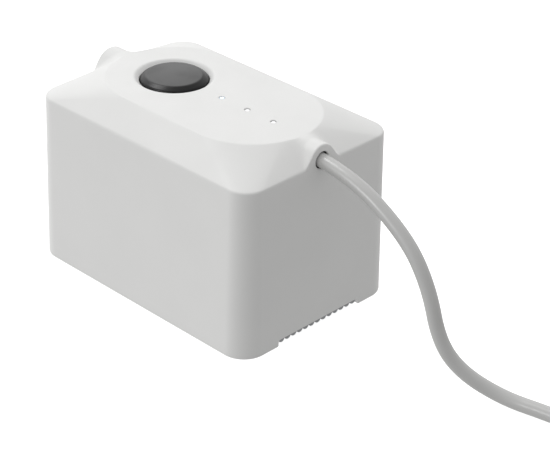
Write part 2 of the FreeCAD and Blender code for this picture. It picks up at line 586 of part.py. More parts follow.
def make_power_board():
    face = "D.power_y + D.board_thickness"
    slab = block("power_slab", ("D.power_length", "D.board_thickness", "D.power_height"), "0",
                 "D.power_y + D.board_thickness / 2", "D.power_floor")
    spots = [(-48, 16), (48, 16), (-48, 72), (48, 72)]
    holes = [rod(f"power_hole_{k}", 1.6, 4, x, "D.power_y - 1", z, along="y") for k, (x, z) in enumerate(spots)]
    keep(cut("power_board_cut", slab, *holes), "power_board")

    # two angle brackets between the base plate's feet and the board's ends
    brackets, screws = [], []
    for side in (-1, 1):
        leaf = block(f"bracket_leaf_{side + 1}", (7, 2, 64), f"{side} * 48", "D.power_y - 1", "D.power_floor")
        bores = [rod(f"bracket_bore_{side + 1}_{z}", 1.2, 4, f"{side} * 48", "D.power_y - 3", z, along="y")
                 for z in (16, 72)]
        brackets.append(cut(f"bracket_{side + 1}", leaf, *bores))
        for z in (16, 72):
            shank = rod(f"power_screw_shank_{side + 1}_{z}", 1.1, 3.4, f"{side} * 48", "D.power_y - 1.7", z, along="y")
            head = rod(f"power_screw_head_{side + 1}_{z}", 2.6, 1.6, f"{side} * 48", face, z, along="y")
            screws.append(fuse(f"power_screw_{side + 1}_{z}", shank, head))
    keep(group("bracket_set", *brackets), "board_brackets")
    keep(group("power_screw_set", *screws), "board_screws")

    # transformer: a ferrite core with two windows, and the winding round its middle leg
    core = block("core_blank", (34, 20, 28), -14, f"{face} + 3 + 10", 20)
    windows = [block(f"core_window_{k}", (7, 22, 16), x, f"{face} + 13", 26) for k, x in enumerate((-22.5, -5.5))]
    keep(cut("core_cut", core, *windows), "transformer_core")
    coil = block("winding_outer", (23, 26, 15), -14, f"{face} + 13", 26.5)
    slot = block("winding_slot", (10.2, 20.4, 17), -14, f"{face} + 13", 25.5)
    keep(cut("winding_cut", coil, slot), "transformer_winding")

    # finned heat sink, with three transistors clamped under it
    base = block("sink_base", (40, 26, 3), 27, f"{face} + 14.8", 50)
    fins = [block(f"sink_fin_{k}", (1.6, 26, 20), 9 + 4.5 * k, f"{face} + 14.8", 53) for k in range(9)]
    keep(fuse("sink_whole", base, *fins), "heat_sink")
    cases = []
    for k in range(3):
        case = block(f"transistor_case_{k}", (10, 9, 4.5), f"{15 + 12 * k}", f"{face} + 12", 45.5)
        legs = [block(f"transistor_leg_{k}_{leg}", (0.9, 7.5, 0.6), f"{15 + 12 * k + 2.5 * leg}", f"{face} + 3.75", 47)
                for leg in (-1, 0, 1)]
        cases.append(fuse(f"transistor_{k}", case, *legs))
    keep(group("transistor_set", *cases), "power_transistors")
    cans = [rod(f"capacitor_{k}", 8, 24, -41, face, z, along="y") for k, z in enumerate((27, 44.5, 62))]
    keep(group("capacitor_set", *cans), "bulk_capacitors")
    keep(block("relay_case", (18, 14, 14), "36", f"{face} + 7", 24), "relay")

    clips = []
    for k, x in enumerate((-24, -5)):
        arms = [block(f"fuse_clip_{k}_{z}", (5, 6.5, 0.8), x, f"{face} + 3.25", z) for z in (60, 67.2)]
        back = block(f"fuse_clip_back_{k}", (5, 0.8, 8), x, f"{face} + 0.4", 60)
        clips.append(fuse(f"fuse_clip_{k}", back, *arms))
    keep(group("fuse_clip_set", *clips), "fuse_clips")
    keep(rod("fuse_body", 2.9, 24, -26.5, f"{face} + 4.2", 64, along="x"), "fuse")
    terminal = block("terminal_case", (22, 9, 10), 15, f"{face} + 4.5", 28)
    mouths = [block(f"terminal_mouth_{k}", (4, 5, 4), f"{15 + 6.6 * k}", f"{face} + 7", 34.5) for k in (-1, 0, 1)]
    keep(cut("terminal_cut", terminal, *mouths), "terminal_block")


# --- cord exit and inlet ------------------------------------------------------------------------------------


def saddle(name, middle_x, channel):
    """A clamp bar under two posts, with a half-round channel along X."""
    bar = block(f"{name}_bar", (7, 25, 7), middle_x, 0, "D.cord_height - 7.05")
    groove = rod(f"{name}_groove", channel, 9, f"{middle_x} - 4.5", 0, "D.cord_height", along="x")
    bores = [rod(f"{name}_bore_{k}", "D.screw_radius + 0.1", 9, middle_x, f"{side} * 9.5", "D.cord_height - 8")
             for k, side in enumerate((-1, 1))]
    keep(cut(f"{name}_cut", bar, groove, *bores), name)
    screws = []
    for k, side in enumerate((-1, 1)):
        shank = rod(f"{name}_shank_{k}", "D.screw_radius - 0.25", 10.5, middle_x, f"{side} * 9.5",
                    "D.cord_height - 7.1")
        head = rod(f"{name}_head_{k}", "D.screw_radius * 1.7", 1.8, middle_x, f"{side} * 9.5",
                   "D.cord_height - 7.05 - 1.8")
        screws.append(fuse(f"{name}_screw_{k}", shank, head))
    return screws


def make_ends():
    bush = ring("bush_blank", "D.bush_radius", "D.cord_radius + 0.05", "D.bush_length", "D.cord_start - D.bush_length",
                0, "D.cord_height", along="x")
    keep(bush, "cord_bush")
    keep(rod("tail", "D.cord_radius", "D.cord_start - 50", "50", 0, "D.cord_height", along="x"), "cord_tail")
    screws = saddle("cord_clamp", "55.5", "D.cord_radius + 0.05")
    screws += saddle("inlet_clamp", "-58.5", "D.inlet_radius + 0.05")
    keep(group("clamp_screw_set", *screws), "clamp_screws")

    face = "-D.base_length / 2 + D.draft_drop + 1"
    body = rod("inlet_body", "D.inlet_radius", 18, face, 0, "D.cord_height", along="x")
    bore = rod("inlet_mouth", "D.inlet_bore", "D.inlet_depth", face, 0, "D.cord_height", along="x")
    lead_in = cone("inlet_lead_in", "D.inlet_bore + 0.7", "D.inlet_bore", 0.7, face, 0, "D.cord_height", along="x")
    keep(cut("inlet_cut", body, bore, lead_in), "inlet_socket")
    tags = [block(f"inlet_tag_{k}", (4, 2, 0.6), f"{face} + 18 + 2", f"{side} * 2.5", "D.cord_height - 0.3")
            for k, side in enumerate((-1, 1))]
    keep(group("inlet_tag_set", *tags), "inlet_tags")


# --- routes: straight runs joined by tangent arcs -----------------------------------------------------------


def rounded_route(points, name=None):
    """A wire of straight runs and tangent arcs, each as large as its two runs allow. Returns its length too."""
    points = [Vector(*spot) for spot in points]
    edges, radii, start = [], [], points[0]
    for before, corner, after in zip(points, points[1:], points[2:]):
        into, out = (corner - before), (after - corner)
        run = min(into.Length, out.Length)
        turn = into.getAngle(out)
        into.normalize()
        out.normalize()
        reach = 0.45 * run
        radius = reach / math.tan(turn / 2)
        radii.append(radius)
        first, last = corner - into * reach, corner + out * reach
        inward = (out - into).normalize()
        middle = corner + inward * (radius / math.cos(turn / 2) - radius)
        edges.append(Part.LineSegment(start, first).toShape())
        edges.append(Part.Arc(first, middle, last).toShape())
        start = last
    edges.append(Part.LineSegment(start, points[-1]).toShape())
    wire = Part.Wire(edges)
    if name:
        print(name, "bend radii", [round(radius, 1) for radius in radii], "length", round(wire.Length, 1))
    return wire


def tube(points, radius, name=None):
    """A round tube along a route; its volume is compared with its section times its length."""
    wire = rounded_route(points, name)
    start, along = wire.Edges[0].valueAt(wire.Edges[0].FirstParameter), wire.Edges[0].tangentAt(0)
    section = Part.Wire([Part.makeCircle(radius, start, along)])
    solid = wire.makePipeShell([section], True, False)
    share = solid.Volume / (math.pi * radius ** 2 * wire.Length)
    if name:
        print(name, "volume share", round(share, 4))
    assert abs(share - 1) < 0.01, f"{name or 'a wire'} has the wrong volume"
    return solid


CORD_ROUTE = [
    (71.5, 0, 91.6), (93.9, 0, 90.2), (127.8, 0, 72.6), (143.8, -0.9, 53.1), (152, -1, 27.5), (162.7, 3.8, 13.4),
    (180.5, 13.1, 3.65), (202.1, 18.1, 3.65), (214, 19.9, 3.65),
]


LAYERS_TOP = "D.turn_step + D.turn_rise"
PLUG_HEIGHT = f"{LAYERS_TOP} + 0.05 + D.plug_thickness / 2"


def make_cord():
    radius, step, middle = number("D.cord_radius"), number("D.turn_step"), number("D.coil_radius")
    keep(free_shape("cord_run", tube(CORD_ROUTE, radius, "power_cord")), "power_cord")

    # coil: three turns side by side, two more in the grooves between them, half a turn on top that ends at the
    # plug, and the straight lead-in
    layers_top = number(LAYERS_TOP)

    def turned(x, inner, outer, low, high, angle):
        corners = [(inner, low), (outer, low), (outer, high), (inner, high), (inner, low)]
        face = Part.Face(Part.makePolygon([Vector(0, -x, z) for x, z in corners]))
        solid = face.revolve(Vector(0, 0, 0), Vector(0, 0, 1), angle)
        return solid.translated(Vector(number("D.coil_x"), x, 0))

    y, last = number("D.coil_y"), number("D.last_radius")
    lower = turned(y, middle - 1.5 * step, middle + 1.5 * step, 0, step, 360)
    upper = turned(y, middle - step, middle + step, step, layers_top, 360)
    top = turned(y - middle + last, last - radius, last + radius, layers_top, number(PLUG_HEIGHT) + radius, 180)
    end, before = Vector(*CORD_ROUTE[-1]), Vector(*CORD_ROUTE[-2])
    lead = Part.makeCylinder(radius, 30, end, end - before)
    keep(free_shape("coil_whole", lower.fuse([upper, top, lead]).removeSplitter()), "cord_coil")

    # tie round the coil's west side, where nothing lies on the turns
    outline = [(-1.5, 0), (-1.5, 1), (-1, 1), (-1, 2), (1, 2), (1, 1), (1.5, 1), (1.5, 0)]
    heights = (0, step, layers_top)

    def band(gap):
        points = [Vector(number("D.coil_x") - middle + a * step + math.copysign(gap, a), y - 6,
                         heights[k] + (gap if k else 0)) for a, k in outline]
        return Part.Face(Part.makePolygon([*points, points[0]])).extrude(Vector(0, 12, 0))

    keep(free_shape("tie_whole", band(1.9).cut(band(0.9))), "cord_tie")


def make_plug():
    """Flat two-pin plug that lies on the coil and points along -X."""
    y, z = "D.coil_y - D.coil_radius + 2 * D.last_radius", PLUG_HEIGHT
    length, bush = "D.plug_length", "D.plug_bush_length"
    keep(cone("plug_bush_cone", 5.6, "D.cord_radius + 0.6", bush, f"D.coil_x - {bush}", y, z, along="x"), "plug_bush")
    body = doc.addObject("PartDesign::Body", "plug_blank")
    outline = sketch_on(body, "plug_outline", height=f"{LAYERS_TOP} + 0.05")
    rounded_rectangle(outline, length, "D.plug_width", "D.plug_width / 3")
    solid = pad(body, "plug_pad", outline, "D.plug_thickness")
    doc.recompute()
    edges = [f"Edge{k}" for k, edge in enumerate(solid.Shape.Edges, start=1) if edge.BoundBox.ZLength < 1e-3]
    rounded = body.newObject("PartDesign::Fillet", "plug_rounded")
    rounded.Base = (solid, edges)
    rounded.Radius = 3
    place(body, f"D.coil_x - {bush} - {length} / 2", y)
    keep(body, "plug_body")
    pins = []
    for k, side in enumerate((-1, 1)):
        sleeve = rod(f"pin_sleeve_{k}", 1.9, 10, f"D.coil_x - {bush} - {length} - 10", f"{y} + {side} * 9.5", z,
                     along="x")
        tip = rod(f"pin_tip_{k}", 2.4, 9, f"D.coil_x - {bush} - {length} - 19", f"{y} + {side} * 9.5", z, along="x")
        pins.append(fuse(f"plug_pin_{k}", sleeve, tip))
    keep(group("plug_pin_set", *pins), "plug_pins")


# --- inner wires --------------------------------------------------------------------------------------------

WIRE = 0.9
CORE_ROUTES = [
    [(50, 0, 92 + shift), (47.8, 0, 92 + shift), (48.3, 8, 92 + shift), (52, 15.5, 91.4 + shift),
     (53.5, 23 + shift, 89 + shift), (53.5, 25 + shift, 78), (53.5, 27 + shift, 46), (50, 27 + shift, 41.2),
     (mouth + 6, 27 + shift, 41.2), (mouth, 21.6, 41), (mouth, 21.6, 36)]
    for shift, mouth in ((-2, 8.4), (0, 15), (2, 21.6))
]
INLET_ROUTES = [
    [(-53.5, side * 2.5, 91.3), (-53.5, side * 2.5, 82.9), (-46 - 2 * side, 9, 82.9), (-39, 17 + side * 1.2, 82),
     (-29 + 2 * side, 20, 78), (-28 + 2 * side, 18, 75), (-28 + 2 * side, 14.6, 75)]
    for side in (-1, 1)
]
CELL_ROUTES = [
    [(-47, -32.6, 80.7), (-53, -18, 80.7), (-52, 8, 80.7), (-44, 17.5, 80), (-38.5, 18, 75), (-38.5, 14.6, 75)],
    [(-41.4, 0, 80.7), (-41, 10, 80.7), (-37, 17.5, 79), (-35.5, 18, 75), (-35.5, 14.6, 75)],
]
RIBBON_ROUTE = [(24, 8.5, 88.8), (24, 16.5, 88.8), (24, 17, 80), (24, 18.5, 75), (24, 14.6, 75)]


def make_wires():
    for name, routes in (("cord_cores", CORE_ROUTES), ("inlet_leads", INLET_ROUTES), ("cell_leads", CELL_ROUTES)):
        runs = [free_shape(f"{name}_{k}", tube(route, WIRE)) for k, route in enumerate(routes)]
        keep(group(f"{name}_set", *runs), name)
    path = rounded_route(RIBBON_ROUTE)
    corners = [(19.5, 88.5), (28.5, 88.5), (28.5, 89.1), (19.5, 89.1), (19.5, 88.5)]
    section = Part.makePolygon([Vector(x, 8.5, z) for x, z in corners])
    keep(free_shape("ribbon_run", path.makePipeShell([section], True, False)), "ribbon_cable")


for make in (make_cover, make_base, make_button, make_lights, make_pack, make_power_board, make_ends, make_cord,
             make_plug, make_wires):
    make()

doc.recompute()
for thing in doc.Objects:
    if {"Invalid", "Error"} & set(thing.State):
        raise RuntimeError(f"{thing.Name} failed")
for node in NODES:
    if node.Shape.isNull() or not node.Shape.isValid() or not node.Shape.Solids:
        raise RuntimeError(f"{node.Label} has no valid shape")

os.makedirs("parts", exist_ok=True)
for node in NODES:
    node.Shape.exportStep(f"parts/{node.Label}.step")
    print(node.Label, len(node.Shape.Solids), round(node.Shape.Volume / 1000, 2))
print(len(NODES), "nodes")
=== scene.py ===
import json
import math

import bmesh
import bpy
from mathutils import Matrix, Vector
from mathutils.geometry import tessellate_polygon


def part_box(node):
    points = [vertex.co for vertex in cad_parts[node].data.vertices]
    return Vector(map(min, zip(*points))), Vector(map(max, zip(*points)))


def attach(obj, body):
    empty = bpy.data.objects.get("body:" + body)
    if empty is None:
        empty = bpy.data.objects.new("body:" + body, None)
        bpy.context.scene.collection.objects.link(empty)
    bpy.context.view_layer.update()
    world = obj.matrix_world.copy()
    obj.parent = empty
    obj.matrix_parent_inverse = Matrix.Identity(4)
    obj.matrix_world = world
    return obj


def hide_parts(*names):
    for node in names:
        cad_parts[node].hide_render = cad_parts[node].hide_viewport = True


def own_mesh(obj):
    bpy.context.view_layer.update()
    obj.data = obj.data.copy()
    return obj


# Battery unit: a white cover with a push button and three lights, and a mains cord with a plug, whose spare
# length is coiled. Sizes are in millimetres, apart from those of the floor and lamps, which are in metres.

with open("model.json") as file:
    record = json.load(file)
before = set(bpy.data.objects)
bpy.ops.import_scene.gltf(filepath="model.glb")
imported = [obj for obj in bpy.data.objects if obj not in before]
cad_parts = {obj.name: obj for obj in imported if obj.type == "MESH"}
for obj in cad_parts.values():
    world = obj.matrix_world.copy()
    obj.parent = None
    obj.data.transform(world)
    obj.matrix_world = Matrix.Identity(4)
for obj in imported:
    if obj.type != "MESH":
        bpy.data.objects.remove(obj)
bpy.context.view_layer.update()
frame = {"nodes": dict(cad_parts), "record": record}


def mm(x, y, z):
    return Vector((x, y, z)) / 1000


def box_mm(node):
    low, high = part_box(node)
    return low * 1000, high * 1000


def new_object(name, data):
    """An object in the scene that shows the data."""
    made = bpy.data.objects.new(name, data)
    bpy.context.scene.collection.objects.link(made)
    return made


# --- camera -------------------------------------------------------------------------------------------------

CAMERA_PLACE = mm(599.3, -575.8, 501.5)
CAMERA_RIGHT = Vector((0.71181, 0.70207, 0.02060))
CAMERA_UP = Vector((-0.36147, 0.34102, 0.86778))
SENSOR_WIDTH, FOCAL_LENGTH = 36, 122.95


def make_camera():
    camera = new_object("camera", bpy.data.cameras.new("camera"))
    turn = Matrix((CAMERA_RIGHT, CAMERA_UP, CAMERA_RIGHT.cross(CAMERA_UP))).transposed().to_4x4()
    camera.matrix_world = Matrix.Translation(CAMERA_PLACE) @ turn
    camera.data.sensor_width = SENSOR_WIDTH
    camera.data.lens = FOCAL_LENGTH
    camera.data.clip_end = 20
    bpy.context.scene.camera = camera


make_camera()

# --- materials ----------------------------------------------------------------------------------------------


class Nodes:
    """A short way to write a node tree."""

    def __init__(self, name):
        self.material = bpy.data.materials.new(name)
        self.material.use_nodes = True
        self.tree = self.material.node_tree
        self.shader = self.tree.nodes["Principled BSDF"]
        self.place = self.tree.nodes.new("ShaderNodeTexCoord").outputs["Object"]

    def add(self, kind, **inputs):
        node = self.tree.nodes.new(kind)
        for name, value in inputs.items():
            self.feed(node.inputs[name.replace("_", " ")], value)
        return node

    def feed(self, socket, value):
        if isinstance(value, bpy.types.NodeSocket):
            self.tree.links.new(value, socket)
        else:
            socket.default_value = value

    def set(self, name, value):
        self.feed(self.shader.inputs[name], value)

    def noise(self, scale, detail=3.0, stretch=(1, 1, 1)):
        """Noise with features about 1/scale millimetres across."""
        place = self.add("ShaderNodeMapping", Vector=self.place, Scale=stretch).outputs["Vector"]
        return self.add("ShaderNodeTexNoise", Vector=place, Scale=scale * 1000, Detail=detail).outputs["Fac"]

    def ramp(self, factor, low, high, start=0.35, end=0.65):
        """A value or colour that goes from low to high as the factor goes from start to end."""
        node = self.tree.nodes.new("ShaderNodeValToRGB")
        for stop, at, colour in zip(node.color_ramp.elements, (start, end), (low, high)):
            stop.position = at
            stop.color = (*colour, 1) if hasattr(colour, "__len__") else (colour, colour, colour, 1)
        self.feed(node.inputs["Fac"], factor)
        return node.outputs["Color"]

    def bump(self, height, depth):
        """Relief of a depth in millimetres."""
        node = self.add("ShaderNodeBump", Height=height, Strength=1.0, Distance=depth / 1000)
        self.set("Normal", node.outputs["Normal"])


def shade(colour, share):
    return tuple(channel * share for channel in colour)


def plastic(name, colour, roughness=0.4, grain=3.0, depth=0.01, spread=0.04, specular=0.5):
    """Moulded plastic: a fine grain, a slow change of tone and patches that are a little shinier."""
    nodes = Nodes(name)
    tone = nodes.ramp(nodes.noise(0.03), shade(colour, 1 - spread), shade(colour, 1 + spread))
    nodes.set("Base Color", tone)
    nodes.set("Roughness", nodes.ramp(nodes.noise(0.05), roughness - 0.04, roughness + 0.05))
    nodes.set("Specular IOR Level", specular)
    nodes.bump(nodes.noise(grain, 2.0), depth)
    return nodes.material


def metal(name, colour, roughness=0.3, stretch=(1, 1, 0.05)):
    """Metal with fine drawn or brushed lines."""
    nodes = Nodes(name)
    lines = nodes.noise(6.0, 3.0, stretch)
    nodes.set("Metallic", 1.0)
    nodes.set("Base Color", nodes.ramp(lines, shade(colour, 0.86), colour))
    nodes.set("Roughness", nodes.ramp(lines, roughness, roughness + 0.15))
    nodes.bump(lines, 0.01)
    return nodes.material


def rubber(name, colour):
    nodes = Nodes(name)
    nodes.set("Base Color", nodes.ramp(nodes.noise(0.08), shade(colour, 0.85), shade(colour, 1.2)))
    nodes.set("Roughness", nodes.ramp(nodes.noise(0.2), 0.62, 0.78))
    nodes.bump(nodes.noise(2.0), 0.03)
    return nodes.material


def circuit_board(name, colour):
    """Green lacquer over tracks that run in two directions, with pale pads."""
    nodes = Nodes(name)
    bricks = nodes.add("ShaderNodeTexBrick", Vector=nodes.place, Scale=160.0, Mortar_Size=0.06,
                       Color1=(0, 0, 0, 1), Color2=(0.15, 0.15, 0.15, 1), Mortar=(1, 1, 1, 1))
    tracks = bricks.outputs["Color"]
    nodes.set("Base Color", nodes.ramp(tracks, shade(colour, 0.8), shade(colour, 1.7), 0.1, 0.9))
    nodes.set("Roughness", nodes.ramp(nodes.noise(0.4), 0.22, 0.36))
    nodes.bump(tracks, 0.03)
    return nodes.material


def woven(name, colour):
    nodes = Nodes(name)
    weave = nodes.add("ShaderNodeTexChecker", Vector=nodes.place, Scale=1400.0).outputs["Fac"]
    nodes.set("Base Color", nodes.ramp(weave, shade(colour, 0.7), shade(colour, 1.5), 0.1, 0.9))
    nodes.set("Roughness", 0.85)
    nodes.set("Sheen Weight", 0.3)
    nodes.bump(weave, 0.08)
    return nodes.material


def wound(name, colour):
    """Varnished wire turns lying side by side."""
    nodes = Nodes(name)
    turns = nodes.add("ShaderNodeTexWave", Vector=nodes.place, Scale=700.0, Distortion=0.4).outputs["Fac"]
    nodes.set("Base Color", nodes.ramp(turns, shade(colour, 0.45), colour, 0.05, 0.8))
    nodes.set("Roughness", 0.3)
    nodes.bump(turns, 0.2)
    return nodes.material


def clear(name, colour):
    nodes = Nodes(name)
    nodes.set("Base Color", nodes.ramp(nodes.noise(0.1), shade(colour, 0.97), colour))
    nodes.set("Transmission Weight", 0.9)
    nodes.set("Roughness", 0.08)
    nodes.bump(nodes.noise(0.3), 0.01)
    return nodes.material


# the moulded plastics: a share of the slot's colour, and how the surface looks
PLASTICS = {
    "cover_white": (1, dict(roughness=0.45, grain=2.6, depth=0.006, spread=0.008, specular=0.22)),
    "base_white": (1, dict(roughness=0.5, grain=2.6, depth=0.01, spread=0.02)),
    "button_black": (0.08, dict(roughness=0.34, grain=3.0, depth=0.004, spread=0.06, specular=0.3)),
    "cord_grey": (0.92, dict(roughness=0.33, grain=1.6, depth=0.003, spread=0.02, specular=0.7)),
    "plug_grey": (1, dict(roughness=0.40, grain=2.4, depth=0.012, spread=0.02)),
    # inner_grey also paints the vent ribs, and its share was set for them: on the ribs its grey is painted
    # shade under the end walls
    "inner_grey": (0.98, dict(roughness=0.5, grain=2.0, depth=0.02, spread=0.03)),
}
BY_SLOT = {"board_green": circuit_board, "strap_tape": woven, "winding_tape": wound, "fuse_glass": clear}
BY_CLASS = {
    "matte_plastic": lambda name, colour: plastic(name, colour, roughness=0.55, grain=2.0, depth=0.02),
    "gloss_plastic": lambda name, colour: plastic(name, colour, roughness=0.22, grain=1.0, depth=0.005),
    "rubber": rubber,
    "brushed_steel": metal,
    "chrome": lambda name, colour: metal(name, colour, roughness=0.12),
    "aluminium": lambda name, colour: metal(name, colour, roughness=0.38, stretch=(0.05, 1, 1)),
    "brass": lambda name, colour: metal(name, colour, roughness=0.28),
}


def slot_materials():
    """One material for each material slot of the record."""
    made = {}
    for entry in frame["record"]["materials"]:
        slot, colour = entry["slot"], tuple(entry["base_color"][:3])
        if slot in PLASTICS:
            share, look = PLASTICS[slot]
            made[slot] = plastic(slot, shade(colour, share), **look)
        else:
            maker = BY_SLOT.get(slot) or BY_CLASS[entry["class"]]
            made[slot] = maker(slot, colour)
    return made


MATERIALS = slot_materials()


def paint(piece, material):
    piece.data.materials.clear()
    piece.data.materials.append(material)


def paint_frame():
    for entry in frame["record"]["subparts"]:
        paint(frame["nodes"][entry["node"]], MATERIALS[entry["material_slot"]])


# --- mesh helpers -------------------------------------------------------------------------------------------


def mesh_object(name, grid):
    """An object from a bmesh in millimetres, its faces turned outwards."""
    bmesh.ops.recalc_face_normals(grid, faces=grid.faces)
    bmesh.ops.scale(grid, vec=(0.001,) * 3, verts=grid.verts)
    mesh = bpy.data.meshes.new(name)
    grid.to_mesh(mesh)
    grid.free()
    return new_object(name, mesh)


def finish_mesh(name, grid, slot, body="housing", material=None, sharp=35):
    """A piece from a bmesh: cleaned, smooth apart from its sharp edges, painted, and riding on a body."""
    bmesh.ops.remove_doubles(grid, verts=grid.verts, dist=1e-4)
    piece = mesh_object(name, grid)
    smooth(piece, sharp)
    paint(piece, material or MATERIALS[slot])
    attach(piece, body)
    return piece


def smooth(piece, sharp):
    """Smooth shading, apart from edges that turn by more than the sharp angle in degrees."""
    grid = bmesh.new()
    grid.from_mesh(piece.data)
    for face in grid.faces:
        face.smooth = True
    for edge in grid.edges:
        edge.smooth = len(edge.link_faces) == 2 and edge.calc_face_angle(0) < math.radians(sharp)
    grid.to_mesh(piece.data)
    grid.free()


def ring_of(grid, points):
    return [grid.verts.new(point) for point in points]


def bridge(grid, first, second):
    """Quads between two rings that have as many points."""
    count = len(first)
    for k in range(count):
        after = (k + 1) % count
        grid.faces.new((first[k], first[after], second[after], second[k]))


def loft(grid, rings, capped=True):
    """A surface through rings that have as many points, closed at its two ends if it is capped."""
    for first, last in zip(rings, rings[1:]):
        bridge(grid, first, last)
    if capped:
        grid.faces.new(rings[0])
        grid.faces.new(rings[-1])


def circle(radius, x, y, z, count=96):
    angles = [math.tau * k / count for k in range(count)]
    return [Vector((x + radius * math.cos(angle), y + radius * math.sin(angle), z)) for angle in angles]


def lathe(grid, profile, x=0.0, y=0.0, count=96, turn=None):
    """Rings of a (radius, height) profile about a vertical axis; a radius of 0 closes the end with a fan."""
    start = len(grid.verts)
    rings = []
    for radius, height in profile:
        if radius == 0:
            rings.append([grid.verts.new((x, y, height))])
        else:
            rings.append(ring_of(grid, circle(radius, x, y, height, count)))
    for low, high in zip(rings, rings[1:]):
        if len(low) == 1 or len(high) == 1:
            tip, loop = (low[0], high) if len(low) == 1 else (high[0], low)
            for k in range(count):
                grid.faces.new((tip, loop[k], loop[(k + 1) % count]))
        else:
            bridge(grid, low, high)
    if turn is not None:
        grid.verts.ensure_lookup_table()
        bmesh.ops.transform(grid, matrix=turn, verts=grid.verts[start:])


def along_x(x, y, z, direction=1):
    """The turn that lays what lathe() makes along X, from a place on, towards +X (1) or -X (-1)."""
    return Matrix.Translation((x, y, z)) @ Matrix.Rotation(direction * math.pi / 2, 4, "Y")


def rounded(corner_points, radius, steps=5):
    """The points of a line with each corner between its ends rounded off."""
    points = [Vector(point) for point in corner_points]
    made = [tuple(points[0])]
    for before, corner, after in zip(points, points[1:], points[2:]):
        into, out = (corner - before).normalized(), (after - corner).normalized()
        turn = into.angle(out)
        if turn < 1e-3:
            continue
        room = 0.49 * min((corner - before).length, (after - corner).length)
        reach = min(radius * math.tan(turn / 2), room)
        first, last = corner - into * reach, corner + out * reach
        for k in range(steps + 1):
            t = k / steps
            made.append(tuple((1 - t) ** 2 * first + 2 * t * (1 - t) * corner + t ** 2 * last))
    made.append(tuple(points[-1]))
    return made


# --- cord, coil, tie and plug -------------------------------------------------------------------------------

CORD_DIAMETER = 7.2
CORD_RADIUS = CORD_DIAMETER / 2
TURN_STEP = 7.3
TURN_RISE = 6.35
COIL_RADIUS = 38.95
COIL_FLOOR = CORD_RADIUS + 0.05
CORD_ROUTE = [
    (71.5, 0, 91.6), (93.9, 0, 90.2), (127.8, 0, 72.6), (143.8, -0.9, 53.1), (152, -1, 27.5),
    (162.7, 3.8, 13.4), (180.5, 13.1, 3.65), (202.1, 18.1, 3.65), (214, 19.9, 3.65),
]
TURN_POINTS = 16
ENTRY_ANGLE = -81.4
# the part of a turn in which it goes over to the next one
STEP_START, STEP_SPAN = 0.8, 0.2
PLUG_TURN_RADIUS = 32.0


def ease(start, end, share):
    share = min(max(share, 0.0), 1.0)
    return start + (end - start) * share * share * (3 - 2 * share)


def coil_points(centre):
    """Three turns side by side going in, and two more going out in the grooves on top of them."""
    radii = [COIL_RADIUS + k * TURN_STEP for k in (1, 0, -1, -0.5, 0.5)]
    heights = [COIL_FLOOR] * 3 + [COIL_FLOOR + TURN_RISE] * 2
    points = []
    for turn, (radius, height) in enumerate(zip(radii, heights)):
        last = turn == len(radii) - 1
        after_radius = radius if last else radii[turn + 1]
        after_height = height if last else heights[turn + 1]
        for k in range(TURN_POINTS):
            share = (k / TURN_POINTS - STEP_START) / STEP_SPAN
            angle = math.radians(ENTRY_ANGLE) + math.tau * (turn + k / TURN_POINTS)
            reach = ease(radius, after_radius, share) / math.cos(math.pi / TURN_POINTS / 2)
            points.append((centre.x + reach * math.cos(angle), centre.y + reach * math.sin(angle),
                           ease(height, after_height, share)))
    return points


def plug_end_points(centre, height):
    """From the last turn up and round to the plug's bush, which points along -X."""
    middle_y = centre.y - COIL_RADIUS + PLUG_TURN_RADIUS
    points = []
    for k in range(8):
        angle = math.radians(ENTRY_ANGLE + 22 * k)
        reach = ease(COIL_RADIUS + TURN_STEP / 2, PLUG_TURN_RADIUS, (k + 1) / 5)
        points.append((centre.x + reach * math.cos(angle),
                       ease(centre.y, middle_y, (k + 1) / 5) + reach * math.sin(angle),
                       ease(COIL_FLOOR + TURN_RISE, height, (k + 1) / 4)))
    bush_y = middle_y + PLUG_TURN_RADIUS
    return [*points, (centre.x + 6, bush_y, height), (centre.x, bush_y, height)]


def make_cord():
    high = box_mm("cord_coil")[1]
    outer = COIL_RADIUS + 1.5 * TURN_STEP
    centre = Vector((high.x - outer, high.y - outer, 0))
    bush_low, bush_high = box_mm("plug_bush")
    plug_height = (bush_low.z + bush_high.z) / 2
    points = CORD_ROUTE + coil_points(centre) + plug_end_points(centre, plug_height)
    curve = bpy.data.curves.new("mains_cord", "CURVE")
    curve.dimensions = "3D"
    spline = curve.splines.new("NURBS")
    spline.points.add(len(points) - 1)
    for spot, place in zip(spline.points, points):
        spot.co = (*mm(*place), 1)
    spline.order_u = 3
    spline.use_endpoint_u = True
    spline.resolution_u = 16
    curve.bevel_depth = CORD_RADIUS / 1000
    curve.bevel_resolution = 9
    curve.use_fill_caps = True
    cord = new_object("mains_cord", curve)
    paint(cord, MATERIALS["cord_grey"])
    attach(cord, "housing")
    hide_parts("power_cord", "cord_coil")
    return cord


def super_ring(x, half_width, half_height, y, z, roundness=0.45, count=48):
    """A closed section across X, between a rectangle (roundness 0) and an ellipse (roundness 1)."""
    points = []
    for k in range(count):
        angle = math.tau * k / count
        c, s = math.cos(angle), math.sin(angle)
        points.append((x, y + half_width * math.copysign(abs(c) ** roundness, c),
                       z + half_height * math.copysign(abs(s) ** roundness, s)))
    return points


# the plug's pins: half their distance apart, and a round tip before a thinner shank
PIN_OFFSET = 9.5
PIN_RADIUS, PIN_TIP_ROUND, PIN_SHANK_RADIUS, PIN_SHANK_START = 2.4, 1.6, 2.0, 9.0
# the plug's strain relief: its rings, how much of its pitch a ring takes, and the slits between them
BUSH_RINGS, BUSH_RING_SHARE, BUSH_SLIT_DEPTH = 6, 0.62, 1.0


